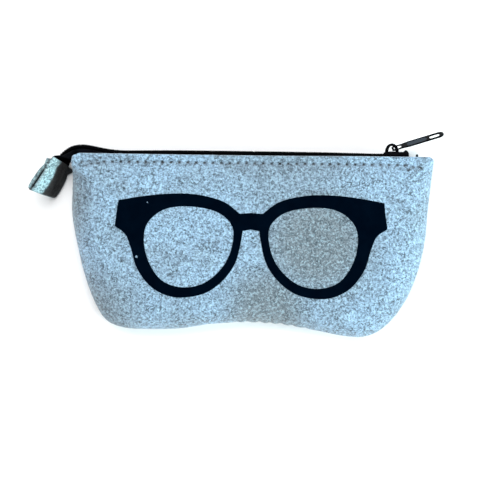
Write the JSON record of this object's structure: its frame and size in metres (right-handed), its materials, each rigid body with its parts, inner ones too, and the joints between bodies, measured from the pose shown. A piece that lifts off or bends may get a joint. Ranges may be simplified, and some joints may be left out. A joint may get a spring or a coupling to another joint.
{
  "type": "felt eyeglasses zip pouch",
  "caption": "Soft felt eyeglasses case with a zip along its top edge, a sliding zip pull, a felt tab on the zip's tail and a printed glasses motif.",
  "frame": {"origin": "on the flat resting face of the back panel, at the pouch's middle", "axes": "+X along the zip towards its closed end, +Y from the bottom seam to the zip, +Z out of the front panel"},
  "size_m": [0.2111, 0.106, 0.0257],
  "materials": {
    "felt": "light grey heather felt, soft and matt",
    "felt_tab": "the same felt with cut edges",
    "print_film": "black heat-transfer film, faintly textured by the felt",
    "zip_tape": "black woven polyester tape",
    "zip_coil": "black nylon monofilament",
    "slider_enamel": "black enamel on die-cast metal",
    "pull_enamel": "black enamel, worn smooth at the rims",
    "spring_steel": "bright spring steel",
    "thread": "light grey spun polyester thread"
  },
  "bodies": {
    "pouch": {"back_panel": "felt", "tape_back": "zip_tape", "coil_back": "zip_coil", "top_stop_back": "slider_enamel", "topstitch_back": "thread", "seam_stitching": "thread"},
    "front": {"front_panel": "felt", "glasses_print": "print_film", "tape_front": "zip_tape", "coil_front": "zip_coil", "top_stop_front": "slider_enamel", "topstitch_front": "thread", "bar_tack_left": "thread", "bar_tack_right": "thread"},
    "slider": {"slider_body": "slider_enamel", "slider_crown": "slider_enamel", "lock_spring": "spring_steel"},
    "pull": {"pull_tab": "pull_enamel"},
    "tab": {"tail_tab": "felt_tab", "tab_stitching": "thread"}
  },
  "joints": [
    {"name": "slider_travel", "type": "slide", "parent": "pouch", "child": "slider", "axis": [-1, 0, 0], "range_m": [0, 0.138], "deforming": ["coil_front", "coil_back", "tape_front", "tape_back"]},
    {"name": "pull_swing", "type": "hinge", "parent": "slider", "child": "pull", "pos_m": [0.0714, 0.05035, 0.013], "axis": [0, 0, 1], "range_deg": [0, 145], "deforming": ["lock_spring"]},
    {"name": "mouth_open", "type": "hinge", "parent": "pouch", "child": "front", "pos_m": [0, -0.0465, 0.013], "axis": [1, 0, 0], "range_deg": [0, 14]},
    {"name": "tail_swing", "type": "hinge", "parent": "pouch", "child": "tab", "pos_m": [-0.0915, 0.046, 0.013], "axis": [0, 0, 1], "range_deg": [-50, 0]}
  ],
  "couplings": [
    {"joint": "mouth_open", "follows": "slider_travel", "rad_per_m": 1.77}
  ]
}
